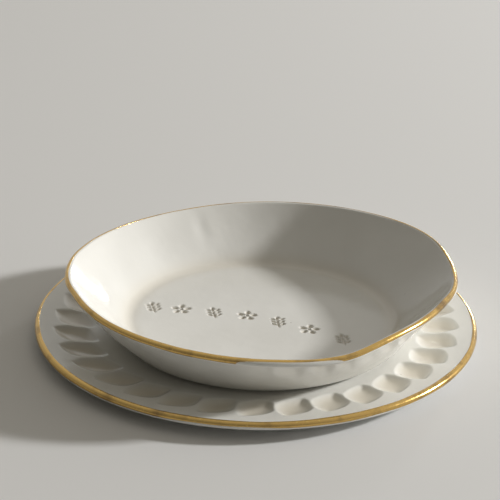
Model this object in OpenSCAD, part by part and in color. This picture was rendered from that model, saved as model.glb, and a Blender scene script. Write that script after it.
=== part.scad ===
// A small ring dish and the flat saucer it stands on. Both are thin slabs of glazed porcelain
// with a band of gold lustre over the lip. Millimetres, Z up, the saucer's foot at the origin.

/* [Dish] */
// Mean diameter of the dish over its rim
dish_d = 100; // [84:1:110]
// Mean height of the dish, from its foot to the top of its rim
dish_h = 16.5; // [12:0.5:24]
// Diameter of the flat floor, where the wall starts to bend up
dish_floor_d = 66; // [50:1:70]
// Thickness of the floor
dish_floor_t = 2.8; // [2:0.1:4]
// Thickness of the wall at the lip
dish_lip_t = 2; // [1.4:0.1:3]
// Middle radius of the bend between floor and wall
dish_bend_r = 5.5; // [3:0.5:7]
// How far the rim wanders from a true circle, where 1 is the dish as made
dish_waver = 1; // [0:0.1:1.2]
// How far the dish stands off the middle of its saucer, to the right
dish_shift_x = 1.3; // [-2:0.1:2]
// How far the dish stands off the middle of its saucer, to the back
dish_shift_y = -2; // [-2:0.1:2]

/* [Saucer] */
// Diameter of the saucer over its rim
saucer_d = 115.5; // [112:0.5:130]
// Height of the saucer, from its foot to the top of its rim
saucer_h = 5; // [4.5:0.25:7]
// Diameter of the flat foot, where the rim starts to bend up
saucer_foot_d = 76; // [76:0.5:80]
// Thickness of the slab under the dish
saucer_t = 2.6; // [2.4:0.1:3.2]
// Thickness of the slab at the lip
saucer_lip_t = 2.2; // [1.8:0.1:2.8]
// Middle radius of the bend between foot and rim
saucer_bend_r = 30; // [20:1:32]

/* [Petals] */
// Number of petals pressed into the saucer's rim
petal_count = 32; // [12:1:36]
// Length of a petal, up the rim's slope
petal_l = 9.6; // [6:0.2:10]
// Width of a petal
petal_w = 7; // [4:0.2:7.4]
// Depth of a petal at its middle
petal_depth = 0.9; // [0.3:0.1:1.2]
// Radius of the circle on which the petals' middles lie
petal_ring_r = 47.2; // [46:0.2:49]

/* [Gold] */
// Where the gold starts on the outside of the lip, in degrees above level
gold_start = -6; // [-30:1:20]
// Where the gold ends on the inside of the lip, in degrees above level
gold_end = 94; // [80:1:95]
// Thickness of the gold band
gold_t = 0.15; // [0.1:0.05:0.3]

/* [Hidden] */
PORCELAIN = [0.93, 0.91, 0.85];
GOLD = [0.80, 0.62, 0.28];

// The dish was drawn up by hand, so its rim wanders. Each row holds an azimuth, then how far
// the lip leans out and stands up there. Azimuth 0 is the right and 90 the back.
RIM_WAVE = [
    [ 10,  0.7,  0.5], [ 24,  1.0,  1.1], [ 36,  0.7,  1.1], [ 52,  0.2,  0.5], [ 75, -0.1, -0.3],
    [100, -0.4, -0.9], [120, -0.6, -1.2], [142, -0.5, -0.8], [160, -0.1, -0.1], [174,  0.6,  0.3],
    [188,  0.7,  0.0], [199, -0.1,  0.0], [228, -0.1,  0.2], [250,  0.0,  0.0], [272,  0.3, -0.5],
    [293,  0.5, -0.8], [309, -0.5,  0.6], [322, -0.8,  0.9], [340, -0.8,  0.4], [352,  0.3,  0.0]
];
TURN = [360, 0, 0];
WAVE_LAST = len(RIM_WAVE) - 1;
// The same rows with their neighbours from the turn before and the turn after.
WAVE_KNOTS = concat([RIM_WAVE[WAVE_LAST - 1] - TURN, RIM_WAVE[WAVE_LAST] - TURN],
    RIM_WAVE, [RIM_WAVE[0] + TURN, RIM_WAVE[1] + TURN]);

COLUMNS = 96;      // sections round the dish
BEND_STEPS = 4;    // steps round a bend
WALL_STEPS = 3;    // steps up a wall
UNDER_STEPS = 4;   // steps round the bare part of a lip, outside the gold
GOLD_STEPS = 6;    // steps over the gold
OVER_STEPS = 2;    // steps round the bare part of a lip, inside the gold
ROUND = 180;       // facets of a full turn of the saucer
PETAL_ROUND = 60;  // facets of a full turn of a petal's blade
PETAL_PROUD = 0.4; // how far a petal's blades stand out of the clay

// A slab's section is a flat floor, a bend and a straight wall that ends in a half round. It
// is held as floor radius, floor thickness, middle radius of the bend, lip centre, lip radius.
function slab(floor_r, floor_t, bend_r, rim_r, rim_h, lip_t) =
    [floor_r, floor_t, bend_r, [rim_r, rim_h] - [1, 1] * lip_t / 2, lip_t / 2];

function saucer_slab() = slab(saucer_foot_d / 2, saucer_t, saucer_bend_r,
    saucer_d / 2, saucer_h, saucer_lip_t);

function dish_slab(azimuth) =
    let (w = wave(azimuth))
    slab(dish_floor_d / 2, dish_floor_t, dish_bend_r, dish_d / 2 + w[1], dish_h + w[2], dish_lip_t);

function floor_r(s) = s[0];
function floor_t(s) = s[1];
function bend_outer_r(s) = s[2] + s[1] / 2;
function bend_inner_r(s) = s[2] - s[1] / 2;
function bend_centre(s) = [floor_r(s), bend_outer_r(s)];
function lip_centre(s) = s[3];
function lip_r(s) = s[4];

// The wall's slope, with which it leaves the bend and reaches the lip without a kink.
function slope(s) =
    let (d = lip_centre(s) - bend_centre(s), run = sqrt(d * d - s[2] ^ 2))
    atan2(d.y, d.x) + atan2(s[2], run);

function last(list) = list[len(list) - 1];
function reversed(list) = [for (k = [len(list) - 1 : -1 : 0]) list[k]];

function arc(centre, r, from, to, steps) =
    [for (k = [0 : steps]) let (a = from + (to - from) * k / steps) centre + r * [cos(a), sin(a)]];

// Points on a straight stretch, without its ends.
function between(p, q) = [for (k = [1 : WALL_STEPS - 1]) p + (q - p) * k / WALL_STEPS];

// The gold's face towards the body, and with no depth its outer face.
function gold_line(s, depth = 0) =
    arc(lip_centre(s), lip_r(s) - depth, gold_start, gold_end, GOLD_STEPS);

function gold_section(s) = concat(gold_line(s), reversed(gold_line(s, gold_t)));

// The fired body, from the edge of its foot over the lip to the edge of its floor. Its lip is
// set back where the gold lies.
function body_section(s) =
    let (a = slope(s),
        heel = arc(bend_centre(s), bend_outer_r(s), -90, a - 90, BEND_STEPS),
        under = arc(lip_centre(s), lip_r(s), a - 90, gold_start, UNDER_STEPS),
        over = arc(lip_centre(s), lip_r(s), gold_end, a + 90, OVER_STEPS),
        hollow = arc(bend_centre(s), bend_inner_r(s), a - 90, -90, BEND_STEPS))
    concat(heel, between(last(heel), under[0]), under, gold_line(s, gold_t), over,
        between(last(over), hollow[0]), hollow);

// The rim's wander at any azimuth, on a smooth curve through its rows.
function wave_knot(azimuth, i = 1) = azimuth < WAVE_KNOTS[i + 1].x ? i : wave_knot(azimuth, i + 1);
function wave_tangent(i) = let (d = WAVE_KNOTS[i + 1] - WAVE_KNOTS[i - 1]) d / d.x;
function wave(azimuth) =
    let (i = wave_knot(azimuth), p = WAVE_KNOTS[i], q = WAVE_KNOTS[i + 1], width = q.x - p.x,
        t = (azimuth - p.x) / width, ease = 3 * t ^ 2 - 2 * t ^ 3,
        leave = (t ^ 3 - 2 * t ^ 2 + t) * width * wave_tangent(i),
        arrive = (t ^ 3 - t ^ 2) * width * wave_tangent(i + 1))
    dish_waver * (p + ease * (q - p) + leave + arrive);

function placed(p, azimuth) = [p.x * cos(azimuth), p.x * sin(azimuth), p.y];

// A skin through one section per azimuth. Its quads are cut along one diagonal up to section
// point turn and along the other after it, so that skins that share a face share its edges.
// An open section is closed by a flat face at each end.
module loft(sections, turn, open) {
    m = len(sections[0]);
    n = len(sections);
    points = [for (j = [0 : n - 1], p = sections[j]) placed(p, 360 * j / n)];
    sides = [for (j = [0 : n - 1], k = [0 : m - (open ? 2 : 1)])
        let (a = j * m + k, b = j * m + (k + 1) % m, next = (j + 1) % n * m, c = next + k,
            d = next + (k + 1) % m)
        each (k < turn ? [[a, b, d], [a, d, c]] : [[a, b, c], [b, d, c]])];
    ends = [[for (j = [0 : n - 1]) j * m], [for (j = [n - 1 : -1 : 0]) j * m + m - 1]];
    polyhedron(points, open ? concat(sides, ends) : sides);
}

// A petal is the pit that two slanted blades leave: two cones that cross, with the pit's
// valley along X.
module petal_cutter() {
    blade_r = (petal_l ^ 2 / petal_w + petal_w) / 4;
    side = blade_r - petal_w / 2;
    widening = PETAL_PROUD * petal_w / 2 / petal_depth;
    intersection_for (y = [-side, side])
        translate([0, y, -petal_depth])
            cylinder(h = petal_depth + PETAL_PROUD, r1 = side, r2 = blade_r + widening, $fn = PETAL_ROUND);
}

// The petals lie on the straight part of the rim, each square to its slope.
module petals() {
    s = saucer_slab();
    a = slope(s);
    foot = arc(bend_centre(s), bend_inner_r(s), -90, a - 90, 1)[1];
    height = foot.y + (petal_ring_r - foot.x) * tan(a);
    for (k = [0 : petal_count - 1])
        rotate(360 * k / petal_count)
            translate([petal_ring_r, 0, height])
                rotate([0, -a, 0])
                    petal_cutter();
}

module saucer() {
    s = saucer_slab();
    color(PORCELAIN) difference() {
        rotate_extrude($fn = ROUND) polygon(concat([[0, 0]], body_section(s), [[0, floor_t(s)]]));
        petals();
    }
}

module saucer_gold_rim() {
    color(GOLD) rotate_extrude($fn = ROUND) polygon(gold_section(saucer_slab()));
}

// The dish stands on the saucer's flat middle.
module on_saucer() {
    translate([dish_shift_x, dish_shift_y, saucer_t]) children();
}

module dish() {
    sections = [for (j = [0 : COLUMNS - 1]) body_section(dish_slab(360 * j / COLUMNS))];
    color(PORCELAIN) on_saucer() loft(sections, turn = len(sections[0]), open = true);
}

module dish_gold_rim() {
    sections = [for (j = [0 : COLUMNS - 1]) gold_section(dish_slab(360 * j / COLUMNS))];
    color(GOLD) on_saucer() loft(sections, turn = GOLD_STEPS + 1, open = false);
}

saucer();
saucer_gold_rim();
dish();
dish_gold_rim();
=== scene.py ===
import math
import bpy
import numpy as np
from mathutils import Matrix, Vector


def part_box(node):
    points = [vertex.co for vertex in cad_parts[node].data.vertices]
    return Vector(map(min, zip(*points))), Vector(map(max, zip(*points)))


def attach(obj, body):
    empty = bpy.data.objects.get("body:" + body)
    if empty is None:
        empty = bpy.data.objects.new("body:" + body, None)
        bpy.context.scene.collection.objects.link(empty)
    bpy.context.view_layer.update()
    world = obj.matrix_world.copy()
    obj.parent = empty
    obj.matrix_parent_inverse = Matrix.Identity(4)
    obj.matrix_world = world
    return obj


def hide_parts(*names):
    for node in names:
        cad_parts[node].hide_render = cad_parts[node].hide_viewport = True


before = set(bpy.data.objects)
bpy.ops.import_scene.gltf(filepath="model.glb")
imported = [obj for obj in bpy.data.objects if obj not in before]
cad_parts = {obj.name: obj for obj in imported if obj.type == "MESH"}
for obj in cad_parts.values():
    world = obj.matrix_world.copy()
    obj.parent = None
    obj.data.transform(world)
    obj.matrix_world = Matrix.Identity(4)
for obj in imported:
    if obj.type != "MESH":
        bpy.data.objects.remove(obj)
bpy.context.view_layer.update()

# Sizes in metres, angles in degrees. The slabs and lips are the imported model's own. The petals
# are a little larger than there and lean.
MM = 0.001
gold_low, gold_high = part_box("saucer_gold_rim")
dish_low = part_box("dish")[0]

SAUCER_RIM_R = (gold_high.x - gold_low.x) / 2
SAUCER_H = gold_high.z
SAUCER_FOOT_R = 38 * MM
SAUCER_T = dish_low.z            # the dish stands on the saucer's slab
SAUCER_LIP_T = 2.2 * MM
SAUCER_BEND_R = 30 * MM

DISH_PLACE = np.array([1.3 * MM, -2 * MM, SAUCER_T])
DISH_RIM_R = 50 * MM
DISH_H = 16.5 * MM
DISH_FLOOR_R = 33 * MM
DISH_T = 2.8 * MM
DISH_LIP_T = 2 * MM
DISH_BEND_R = 5.5 * MM
SLACK = 0.01 * MM                # how far the rim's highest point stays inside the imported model

# The dish was drawn up by hand: azimuth, then how far the lip leans out and stands up, in mm.
RIM_WAVE = [
    (10, 0.7, 0.5), (24, 1.0, 1.1), (36, 0.7, 1.1), (52, 0.2, 0.5), (75, -0.1, -0.3),
    (100, -0.4, -0.9), (120, -0.6, -1.2), (142, -0.5, -0.8), (160, -0.1, -0.1), (174, 0.6, 0.3),
    (188, 0.7, 0.0), (199, -0.1, 0.0), (228, -0.1, 0.2), (250, 0.0, 0.0), (272, 0.3, -0.5),
    (293, 0.5, -0.8), (309, -0.5, 0.6), (322, -0.8, 0.9), (340, -0.8, 0.4), (352, 0.3, 0.0),
]
UNEVEN = 0.45 * MM               # the depth of the finger dents in its wall
PINCH_AT, PINCH_DEPTH = math.radians(113), 0.35 * MM
PINCH_WIDTH, PINCH_HEIGHT, PINCH_REACH = 0.045, 0.62, 0.2

# Where each motif is pressed on the dish's floor, in mm, and its turn.
STAMPS = [(-28.4, 5.6, 12), (-21.1, 5.0, -4), (-12.4, 3.0, 9), (-3.7, 1.8, -6), (4.4, -1.8, 5),
          (12.4, -5.7, -10), (21.0, -11.4, 8)]
STAMP_DEPTH = 0.55 * MM

PETALS = 32
PETAL_L, PETAL_W, PETAL_DEPTH = 12.2 * MM, 8.8 * MM, 1.1 * MM
PETAL_RING_R = 47.4 * MM
PETAL_LEAN = math.radians(32)    # the inner tip lies counterclockwise of the outer one
VALLEY_R, CREST_R = 0.5 * MM, 0.4 * MM

# The gold lies over the round of a lip, from one angle above level to the other.
GOLD_START, GOLD_END = -6, 94
GOLD_FILM = 0.05 * MM

# How finely the pieces are spun. Past 200,000 triangles a piece's STL file would be thinned.
DISH_COLUMNS, SAUCER_COLUMNS = 480, 768
HEEL_STEPS, LIP_STEPS, HOLLOW_STEPS, GOLD_STEPS = 10, 26, 14, 14


def rim_wave(azimuths):
    """How far the lip leans out and stands up at each azimuth, on a smooth curve through RIM_WAVE."""
    rows = np.array(RIM_WAVE, float)
    turn = np.array([360.0, 0, 0])
    knots = np.vstack([rows[-2:] - turn, rows, rows[:2] + turn])
    at = np.searchsorted(knots[:, 0], azimuths, side="right") - 1
    p, q = knots[at], knots[at + 1]
    width = q[:, :1] - p[:, :1]

    def tangent(i):
        step = knots[i + 1] - knots[i - 1]
        return step / step[:, :1] * width

    t = (azimuths[:, None] - p[:, :1]) / width
    ease = 3 * t**2 - 2 * t**3
    value = p + ease * (q - p) + (t**3 - 2 * t**2 + t) * tangent(at) + (t**3 - t**2) * tangent(at + 1)
    return value[:, 1:] * MM


class Slab:
    """A thin slab of clay: flat floor, bend and straight wall with a round lip, at each azimuth."""

    def __init__(self, floor_r, floor_t, bend_r, rim_r, rim_h, lip_t):
        self.floor_t, self.bend_r, self.lip_r = floor_t, bend_r, lip_t / 2
        self.lip = np.stack([rim_r, rim_h], -1) - self.lip_r
        self.bend = np.broadcast_to([floor_r, floor_t / 2 + bend_r], self.lip.shape)
        reach = self.lip - self.bend
        run = np.sqrt((reach**2).sum(-1) - bend_r**2)
        self.slope = np.degrees(np.arctan2(reach[:, 1], reach[:, 0]) + np.arctan2(bend_r, run))

    def arc(self, centre, radius, start, end, steps):
        start, end = (np.broadcast_to(v, self.slope.shape)[:, None] for v in (start, end))
        turn = np.radians(start + (end - start) * np.linspace(0, 1, steps + 1))
        return centre[:, None] + radius * np.stack([np.cos(turn), np.sin(turn)], -1)

    def line(self, start, end, steps):
        """Points between two others, without them."""
        share = np.linspace(0, 1, steps + 1)[1:-1, None]
        start, end = (np.broadcast_to(v, (len(self.slope), 2)) for v in (start, end))
        return start[:, None] + (end - start)[:, None] * share

    def body(self, base_steps, wall_steps, inner_steps, floor_steps):
        """The fired body's section from the axis below, over the lip, to the axis above."""
        half_t, film_r = self.floor_t / 2, self.lip_r - GOLD_FILM
        heel = self.arc(self.bend, self.bend_r + half_t, -90, self.slope - 90, HEEL_STEPS)
        lip = self.arc(self.lip, film_r, self.slope - 90, self.slope + 90, LIP_STEPS)
        hollow = self.arc(self.bend, self.bend_r - half_t, self.slope - 90, -90, HOLLOW_STEPS)
        foot, middle = np.zeros((len(heel), 1, 2)), np.zeros((len(heel), 1, 2))
        middle[..., 1] = self.floor_t
        parts = [foot, self.line([0, 0], heel[:, 0], base_steps), heel,
                 self.line(heel[:, -1], lip[:, 0], wall_steps), lip,
                 self.line(lip[:, -1], hollow[:, 0], inner_steps), hollow,
                 self.line(hollow[:, -1], [0, self.floor_t], floor_steps), middle]
        return np.concatenate(parts, 1)

    def gold(self, start, end):
        """The gold band's section, out over its skin and back along the body."""
        skin = self.arc(self.lip, self.lip_r, start, end, GOLD_STEPS)
        back = self.arc(self.lip, self.lip_r - GOLD_FILM, start, end, GOLD_STEPS)
        return np.concatenate([skin, back[:, ::-1]], 1)


def azimuths(columns):
    return np.arange(columns) * 360 / columns


def spin_section(name, sections, closed, place=(0, 0, 0)):
    """Spins one section round the axis, then draws every point to its place at its own azimuth."""
    columns, rows = sections.shape[:2]
    bpy.ops.object.select_all(action="DESELECT")
    bpy.ops.mesh.primitive_circle_add(vertices=rows, radius=1)
    obj = bpy.context.object
    obj.name = obj.data.name = name
    flat = np.zeros((rows, 3))
    flat[:, 0], flat[:, 2] = sections[0].T
    obj.data.vertices.foreach_set("co", flat.ravel())
    obj.data.attributes.new("row", "INT", "POINT").data.foreach_set("value", np.arange(rows))
    if not closed:
        cut_on_axis(obj, rows)
    bpy.ops.object.mode_set(mode="EDIT")
    bpy.ops.mesh.select_all(action="SELECT")
    bpy.ops.mesh.spin(steps=columns, angle=math.tau, center=(0, 0, 0), axis=(0, 0, 1))
    bpy.ops.mesh.select_all(action="SELECT")
    bpy.ops.mesh.remove_doubles(threshold=1e-7)
    bpy.ops.mesh.normals_make_consistent(inside=False)
    bpy.ops.object.mode_set(mode="OBJECT")
    spun = points(obj)
    row = np.empty(len(spun), int)
    obj.data.attributes["row"].data.foreach_get("value", row)
    azimuth = np.degrees(np.arctan2(spun[:, 1], spun[:, 0])) % 360
    column = np.rint(azimuth * columns / 360).astype(int) % columns
    reach, height = sections[column, row].T
    angle = np.radians(column * 360 / columns)
    drawn = np.stack([reach * np.cos(angle), reach * np.sin(angle), height], -1)
    set_points(obj, drawn + np.array(place))
    for polygon in obj.data.polygons:
        polygon.use_smooth = True
    return obj


def cut_on_axis(obj, rows):
    """Opens the section where it would run down the axis."""
    bpy.ops.object.mode_set(mode="EDIT")
    bpy.ops.mesh.select_all(action="DESELECT")
    bpy.ops.object.mode_set(mode="OBJECT")
    for edge in obj.data.edges:
        edge.select = set(edge.vertices) == {0, rows - 1}
    bpy.ops.object.mode_set(mode="EDIT")
    bpy.ops.mesh.select_mode(type="EDGE")
    bpy.ops.mesh.delete(type="EDGE")
    bpy.ops.mesh.select_mode(type="VERT")
    bpy.ops.object.mode_set(mode="OBJECT")


def points(obj):
    co = np.empty(len(obj.data.vertices) * 3)
    obj.data.vertices.foreach_get("co", co)
    return co.reshape(-1, 3)


def set_points(obj, co):
    obj.data.vertices.foreach_set("co", co.ravel())
    obj.data.update()


def facing_up(obj):
    """How squarely each point faces up, from 1 to -1."""
    normal = np.empty(len(obj.data.vertices) * 3)
    obj.data.vertices.foreach_get("normal", normal)
    return normal.reshape(-1, 3)[:, 2]


def paint(obj, name, values):
    """Stores one number per point, which the material reads."""
    obj.data.attributes.new(name, "FLOAT", "POINT").data.foreach_set("value", values)


def smooth(x):
    x = np.clip(x, 0, 1)
    return x * x * (3 - 2 * x)


def soft_max(x, width):
    """x where it is above 0, else 0, with the corner rounded over width."""
    return (x + np.sqrt(x * x + width * width)) / 2 - width / 2


def bare_foot(co, reach, up, foot_r):
    """The face that stood in the kiln carries no glaze."""
    wobble = 0.5 * MM * np.sin(3 * np.arctan2(co[:, 1], co[:, 0]) + 1)
    return np.where(up < -0.5, smooth((foot_r - 1.0 * MM + wobble - reach) / (0.8 * MM)), 0.0)


def gold_edges(at, phase):
    """The band's two edges wander a little, as a brush leaves them."""
    a = np.radians(at)
    outer = GOLD_START + 7 * np.sin(4 * a + phase) + 5 * np.sin(9 * a + 2 + phase) + 3 * np.sin(23 * a)
    inner = GOLD_END + 6 * np.sin(3 * a + 1 + phase) + 4 * np.sin(11 * a + phase) + 2 * np.sin(29 * a)
    return outer, inner


# The dish.

def oval(x, y, cx, cy, turn, long_r, short_r):
    """How far inside a tilted oval a point is: 1 in the middle, 0 at the edge."""
    c, s = math.cos(math.radians(turn)), math.sin(math.radians(turn))
    along, across = (x - cx) * c + (y - cy) * s, (y - cy) * c - (x - cx) * s
    return 1 - np.hypot(along / long_r, across / short_r)


def blossom(x, y):
    """Five round petals about an eye."""
    inside = oval(x, y, 0, 0, 0, 0.55, 0.55)
    for k in range(5):
        turn = 90 + 72 * k
        cx, cy = 1.75 * math.cos(math.radians(turn)), 1.75 * math.sin(math.radians(turn))
        inside = np.maximum(inside, oval(x, y, cx, cy, turn, 1.05, 0.74))
    return inside


def sprig(x, y):
    """A short stem with three pairs of leaves and one at its tip."""
    inside = np.maximum(oval(x, y, 0, -0.4, 90, 2.9, 0.36), oval(x, y, 0, 2.5, 90, 0.95, 0.5))
    for height in (-1.5, 0, 1.4):
        for side in (-1, 1):
            leaf = oval(x, y, side * 1.05, height + 0.35, 90 - side * 52, 0.95, 0.48)
            inside = np.maximum(inside, leaf)
    return inside


def pressed_motifs(co):
    """How deep the motifs are pressed, from 0 to 1, with edges that the glaze has rounded."""
    deep = np.zeros(len(co))
    for k, (cx, cy, turn) in enumerate(STAMPS):
        c, s = math.cos(math.radians(turn)), math.sin(math.radians(turn))
        dx, dy = co[:, 0] / MM - cx, co[:, 1] / MM - cy
        inside = (sprig, blossom)[k % 2](dx * c + dy * s, dy * c - dx * s)
        deep = np.maximum(deep, smooth((inside + 0.08) / 0.5))
    return deep


def hand_dents(azimuth, height):
    """Soft dents that fingers leave in a wall, by azimuth in radians and share of its height."""
    swing = (0.5 * np.sin(5 * azimuth + 0.8 + 1.5 * height)
             + 0.35 * np.sin(8 * azimuth + 2.9 - 2 * height)
             + 0.25 * np.sin(13 * azimuth + 1.7 + 3 * height))
    return UNEVEN * swing * np.sin(math.pi * np.clip(height, 0, 1)) ** 0.8


def pinch(azimuth, height):
    """One narrow upright dent at the back left."""
    away = (azimuth - PINCH_AT + math.pi) % math.tau - math.pi
    return PINCH_DEPTH * np.exp(-(away / PINCH_WIDTH) ** 2 - ((height - PINCH_HEIGHT) / PINCH_REACH) ** 2)


def make_dish():
    at = azimuths(DISH_COLUMNS)
    lean, rise = rim_wave(at).T
    slab = Slab(DISH_FLOOR_R, DISH_T, DISH_BEND_R, DISH_RIM_R + lean, DISH_H + rise - SLACK,
                DISH_LIP_T)
    section = slab.body(base_steps=8, wall_steps=10, inner_steps=18, floor_steps=100)
    dish = spin_section("porcelain_dish", section, closed=False)
    co, up = points(dish), facing_up(dish)
    azimuth, reach = np.arctan2(co[:, 1], co[:, 0]), np.hypot(co[:, 0], co[:, 1])
    height = (co[:, 2] - DISH_T) / (DISH_H - DISH_T)
    push = np.where(reach > DISH_FLOOR_R, hand_dents(azimuth, height), 0) + pinch(azimuth, height)
    co[:, 0] += push * np.cos(azimuth)
    co[:, 1] += push * np.sin(azimuth)
    pressed = np.where((up > 0.9) & (reach < DISH_FLOOR_R), pressed_motifs(co), 0)
    co[:, 2] -= STAMP_DEPTH * pressed
    # Painted shade: a warm darker band where the dish's floor meets its wall, and the pressed motifs
    # darker, as pooled glaze and painted shade.
    corner_shade = np.exp(-((reach - DISH_FLOOR_R - 1.5 * MM) / (2.2 * MM)) ** 2) * (up > 0.5)
    paint(dish, "pooled_glaze_and_shade", np.maximum(pressed, 0.6 * corner_shade))
    paint(dish, "bare_clay", bare_foot(co, reach, up, DISH_FLOOR_R))
    set_points(dish, co + DISH_PLACE)
    dish.data.materials.append(PORCELAIN)
    gold = spin_section("dish_gold_band", slab.gold(*gold_edges(at, 0.0)), closed=True, place=DISH_PLACE)
    gold.data.materials.append(GOLD)
    return dish, gold


# The saucer.

def petal_depth(x, y):
    """The pit of one leaf-shaped petal, deepest in its middle. x runs up the rim, y across it."""
    c, s = math.cos(PETAL_LEAN), math.sin(PETAL_LEAN)
    x, y = x * c - y * s, x * s + y * c
    across = (np.sqrt(y * y + VALLEY_R**2) - VALLEY_R) / (PETAL_W / 2)
    along = (np.sqrt(x * x + CREST_R**2) - CREST_R) / (PETAL_L / 2)
    share = np.clip(soft_max(1 - across - along**1.75, 0.05), 0, 1)
    return PETAL_DEPTH * share * (1.9 - 0.9 * share)


def ring_of_petals(azimuth, reach, slope):
    """How deep the ring of petals is pressed at each point of the rim."""
    petal = math.tau / PETALS
    middle = (azimuth + petal / 2) % petal - petal / 2
    depth = np.zeros(len(reach))
    for off in (middle - petal, middle, middle + petal):
        x, y = (reach * np.cos(off) - PETAL_RING_R) / math.cos(slope), reach * np.sin(off)
        depth = np.maximum(depth, petal_depth(x, y))
    return depth


def make_saucer():
    at = azimuths(SAUCER_COLUMNS)
    level = np.ones(SAUCER_COLUMNS)
    slab = Slab(SAUCER_FOOT_R, SAUCER_T, SAUCER_BEND_R, SAUCER_RIM_R * level, SAUCER_H * level,
                SAUCER_LIP_T)
    section = slab.body(base_steps=12, wall_steps=12, inner_steps=46, floor_steps=8)
    saucer = spin_section("porcelain_saucer", section, closed=False)
    co, up = points(saucer), facing_up(saucer)
    azimuth, reach = np.arctan2(co[:, 1], co[:, 0]), np.hypot(co[:, 0], co[:, 1])
    slope = math.radians(slab.slope[0])
    depth = ring_of_petals(azimuth, reach, slope)
    depth[(up < 0.9) | (reach < SAUCER_FOOT_R)] = 0
    co[:, 0] += depth * math.sin(slope) * np.cos(azimuth)
    co[:, 1] += depth * math.sin(slope) * np.sin(azimuth)
    co[:, 2] -= depth * math.cos(slope)
    # Painted shade with pooled glaze: each petal's pit is darker by its depth.
    paint(saucer, "pooled_glaze_and_shade", depth / PETAL_DEPTH)
    paint(saucer, "bare_clay", bare_foot(co, reach, up, SAUCER_FOOT_R))
    set_points(saucer, co)
    saucer.data.materials.append(PORCELAIN)
    gold = spin_section("saucer_gold_band", slab.gold(*gold_edges(at, 2.2)), closed=True)
    gold.data.materials.append(GOLD)
    return saucer, gold


# The finishes.

IVORY, CREAM = (0.845, 0.842, 0.81, 1), (0.795, 0.79, 0.755, 1)
# Pooled glaze and painted shade, laid in pressed hollows and the dish's inner corner.
POOLED_GLAZE_AND_SHADE = (0.66, 0.57, 0.41, 1)
IRON_SPECK = (0.22, 0.17, 0.12, 1)
BARE_CLAY = (0.74, 0.72, 0.66, 1)
FULL_GOLD, THIN_GOLD = (0.66, 0.43, 0.14, 1), (0.30, 0.19, 0.08, 1)
FLOOR_PAPER = (0.79, 0.795, 0.80, 1)


def new_material(name):
    material = bpy.data.materials.new(name)
    material.use_nodes = True
    return material, material.node_tree, material.node_tree.nodes["Principled BSDF"]


def node(tree, kind, values=None, **settings):
    """Adds a node, with its settings, and its inputs set to values or linked to sockets."""
    made = tree.nodes.new("ShaderNode" + kind)
    for name, value in settings.items():
        setattr(made, name, value)
    for name, value in (values or {}).items():
        fill(tree, made.inputs[name], value)
    return made


def fill(tree, socket, value):
    if isinstance(value, bpy.types.NodeSocket):
        tree.links.new(value, socket)
    else:
        socket.default_value = value


def mix_colour(tree, share, a, b):
    mix = node(tree, "Mix", data_type="RGBA")
    for name, value in (("Factor_Float", share), ("A_Color", a), ("B_Color", b)):
        fill(tree, next(s for s in mix.inputs if s.identifier == name), value)
    return next(s for s in mix.outputs if s.identifier == "Result_Color")


def ramp(tree, value, low, high, to_low=0.0, to_high=1.0):
    made = node(tree, "MapRange", {"Value": value, "From Min": low, "From Max": high,
                                   "To Min": to_low, "To Max": to_high})
    return made.outputs["Result"]


def math_node(tree, operation, a, b):
    return node(tree, "Math", {0: a, 1: b}, operation=operation).outputs[0]


def noise(tree, place, scale, detail, roughness=0.5):
    values = {"Vector": place, "Scale": scale, "Detail": detail, "Roughness": roughness}
    return node(tree, "TexNoise", values).outputs["Fac"]


def specks(tree, place):
    """A few small round specks of iron in the clay: 1 in a speck, 0 outside."""
    cells = node(tree, "TexVoronoi", {"Vector": place, "Scale": 330.0, "Randomness": 1.0})
    chosen = node(tree, "SeparateColor", {"Color": cells.outputs["Color"]}).outputs["Red"]
    near = ramp(tree, cells.outputs["Distance"], 0.05, 0.11, 1.0, 0.0)
    return math_node(tree, "MULTIPLY", near, ramp(tree, chosen, 0.985, 0.99))


def glazed_porcelain():
    """Ivory glaze, darker in what is pressed and in the inner corner as pooled glaze and painted shade,
    and bare matt clay under the foot.
    """
    material, tree, shader = new_material("glazed_porcelain")
    place = node(tree, "TexCoord").outputs["Object"]
    broad = noise(tree, place, 45.0, 3.0)
    fine = noise(tree, place, 420.0, 4.0, 0.6)
    pool_and_shade = node(tree, "Attribute", attribute_name="pooled_glaze_and_shade").outputs["Fac"]
    bare = node(tree, "Attribute", attribute_name="bare_clay").outputs["Fac"]
    tone = mix_colour(tree, ramp(tree, broad, 0.35, 0.65), IVORY, CREAM)
    # Painted shade with pooled glaze: darker in the pressed hollows and the inner corner.
    tone = mix_colour(tree, ramp(tree, pool_and_shade, 0.0, 1.0, 0.0, 0.5), tone, POOLED_GLAZE_AND_SHADE)
    tone = mix_colour(tree, ramp(tree, specks(tree, place), 0.0, 1.0, 0.0, 0.55), tone, IRON_SPECK)
    tone = mix_colour(tree, bare, tone, BARE_CLAY)
    tree.links.new(tone, shader.inputs["Base Color"])
    gloss = ramp(tree, fine, 0.3, 0.7, 0.09, 0.17)
    rough = node(tree, "Mix", {0: bare, 2: gloss, 3: 0.62}, data_type="FLOAT")
    tree.links.new(rough.outputs[0], shader.inputs["Roughness"])
    shader.inputs["IOR"].default_value = 1.52
    swell = noise(tree, place, 130.0, 2.0)
    height = math_node(tree, "ADD", swell, ramp(tree, fine, 0, 1, 0, 0.08))
    bump = node(tree, "Bump", {"Height": height, "Strength": 0.35, "Distance": 0.0004})
    tree.links.new(bump.outputs["Normal"], shader.inputs["Normal"])
    return material


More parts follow.
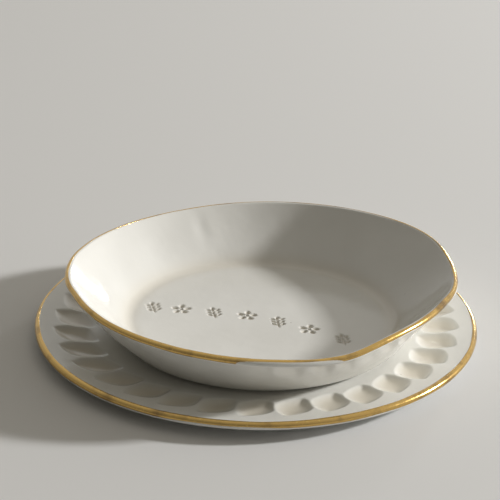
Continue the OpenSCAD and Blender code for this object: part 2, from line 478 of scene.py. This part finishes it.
def gold_lustre():
    """Brushed-on fired gold, browner where it lies thin."""
    material, tree, shader = new_material("gold_lustre")
    place = node(tree, "TexCoord").outputs["Object"]
    broad = noise(tree, place, 160.0, 3.0, 0.55)
    fine = noise(tree, place, 1800.0, 3.0, 0.6)
    tone = mix_colour(tree, ramp(tree, broad, 0.52, 0.72), FULL_GOLD, THIN_GOLD)
    tree.links.new(tone, shader.inputs["Base Color"])
    shader.inputs["Metallic"].default_value = 1.0
    rough = ramp(tree, fine, 0.3, 0.75, 0.13, 0.30)
    tree.links.new(rough, shader.inputs["Roughness"])
    bump = node(tree, "Bump", {"Height": broad, "Strength": 0.3, "Distance": 0.0003})
    tree.links.new(bump.outputs["Normal"], shader.inputs["Normal"])
    return material


# The studio.

KEY_FROM, KEY_FAR, KEY_SIZE, KEY_POWER = (0.915, 0.137, 0.38), 1.8, 0.15, 31.0
GLINT_FROM, GLINT_FAR, GLINT_SIZE, GLINT_POWER = (0.40, 0.90, 0.12), 1.5, 0.12, 3.2
BRIGHT_SIDE = (0.60, 0.70, 0.38)
ROOM_DARK, ROOM_BRIGHT = (0.03, 0.026, 0.019, 1), (0.54, 0.505, 0.435, 1)
BACKDROP_DARK, BACKDROP_BRIGHT = (0.24, 0.24, 0.236, 1), (0.76, 0.76, 0.75, 1)


def plain_stage():
    """A plain pale floor that keeps the object's shadow."""
    bpy.ops.object.select_all(action="DESELECT")
    bpy.ops.mesh.primitive_plane_add(size=8)
    floor = bpy.context.object
    floor.name = "floor"
    material, tree, shader = new_material("floor_paper")
    shader.inputs["Base Color"].default_value = FLOOR_PAPER
    shader.inputs["Roughness"].default_value = 0.9
    floor.data.materials.append(material)


def area_light(name, direction, distance, size, power, colour):
    """A soft square lamp that looks at the object from a direction."""
    data = bpy.data.lights.new(name, "AREA")
    data.size, data.energy, data.color = size, power, colour
    lamp = bpy.data.objects.new(name, data)
    towards = Vector(direction).normalized()
    lamp.location = towards * distance
    lamp.rotation_euler = towards.to_track_quat("Z", "Y").to_euler()
    bpy.context.scene.collection.objects.link(lamp)


def studio():
    """A key lamp low on the right, a weak one at the back for glints, and a room graded to them."""
    area_light("key", KEY_FROM, KEY_FAR, KEY_SIZE, KEY_POWER, (1.0, 0.99, 0.975))
    area_light("glint", GLINT_FROM, GLINT_FAR, GLINT_SIZE, GLINT_POWER, (1.0, 0.99, 0.97))
    world = bpy.data.worlds.new("room")
    bpy.context.scene.world = world
    world.use_nodes = True
    tree = world.node_tree
    background = tree.nodes["Background"]
    direction = node(tree, "TexCoord").outputs["Generated"]
    lean = node(tree, "VectorMath", {0: direction, 1: BRIGHT_SIDE}, operation="DOT_PRODUCT")
    share = ramp(tree, lean.outputs["Value"], -0.5, 1.0)
    room = mix_colour(tree, share, ROOM_DARK, ROOM_BRIGHT)
    backdrop = mix_colour(tree, share, BACKDROP_DARK, BACKDROP_BRIGHT)
    rays = node(tree, "LightPath").outputs
    seen = math_node(tree, "MAXIMUM", rays["Is Camera Ray"], rays["Is Glossy Ray"])
    seen = math_node(tree, "MAXIMUM", seen, rays["Is Transmission Ray"])
    tree.links.new(mix_colour(tree, seen, room, backdrop), background.inputs["Color"])
    background.inputs["Strength"].default_value = 1.0


# The photographed view: how far down it looks, its turn, its distance and what it looks at.
VIEW_DOWN, VIEW_ROLL, VIEW_FAR = 23.76, 1.07, 0.4902
VIEW_AIM = Vector((-1.93 * MM, 0, 24.05 * MM))
VIEW_LENS, VIEW_SENSOR = 136.7, 36


def photographed_view():
    down, roll = math.radians(VIEW_DOWN), math.radians(VIEW_ROLL)
    back = Vector((0, -math.cos(down), math.sin(down)))
    level = Vector((1, 0, 0))
    rising = back.cross(level)
    right = level * math.cos(roll) + rising * math.sin(roll)
    up = rising * math.cos(roll) - level * math.sin(roll)
    data = bpy.data.cameras.new("view")
    data.lens, data.sensor_width = VIEW_LENS, VIEW_SENSOR
    data.clip_start, data.clip_end = 0.01, 20
    camera = bpy.data.objects.new("view", data)
    axes = Matrix((right, up, back)).transposed().to_4x4()
    camera.matrix_world = Matrix.Translation(VIEW_AIM + back * VIEW_FAR) @ axes
    bpy.context.scene.collection.objects.link(camera)
    bpy.context.scene.camera = camera


PORCELAIN = glazed_porcelain()
GOLD = gold_lustre()
photographed_view()
dish, dish_gold = make_dish()
saucer, saucer_gold = make_saucer()

for piece, body, replaced, slot in (
    (dish, "dish", "dish", "glazed_porcelain"),
    (dish_gold, "dish", "dish_gold_rim", "gold_lustre"),
    (saucer, "saucer", "saucer", "glazed_porcelain"),
    (saucer_gold, "saucer", "saucer_gold_rim", "gold_lustre"),
):
    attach(piece, body)
    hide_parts(replaced)

plain_stage()
studio()
bpy.context.scene.view_settings.view_transform = "Standard"
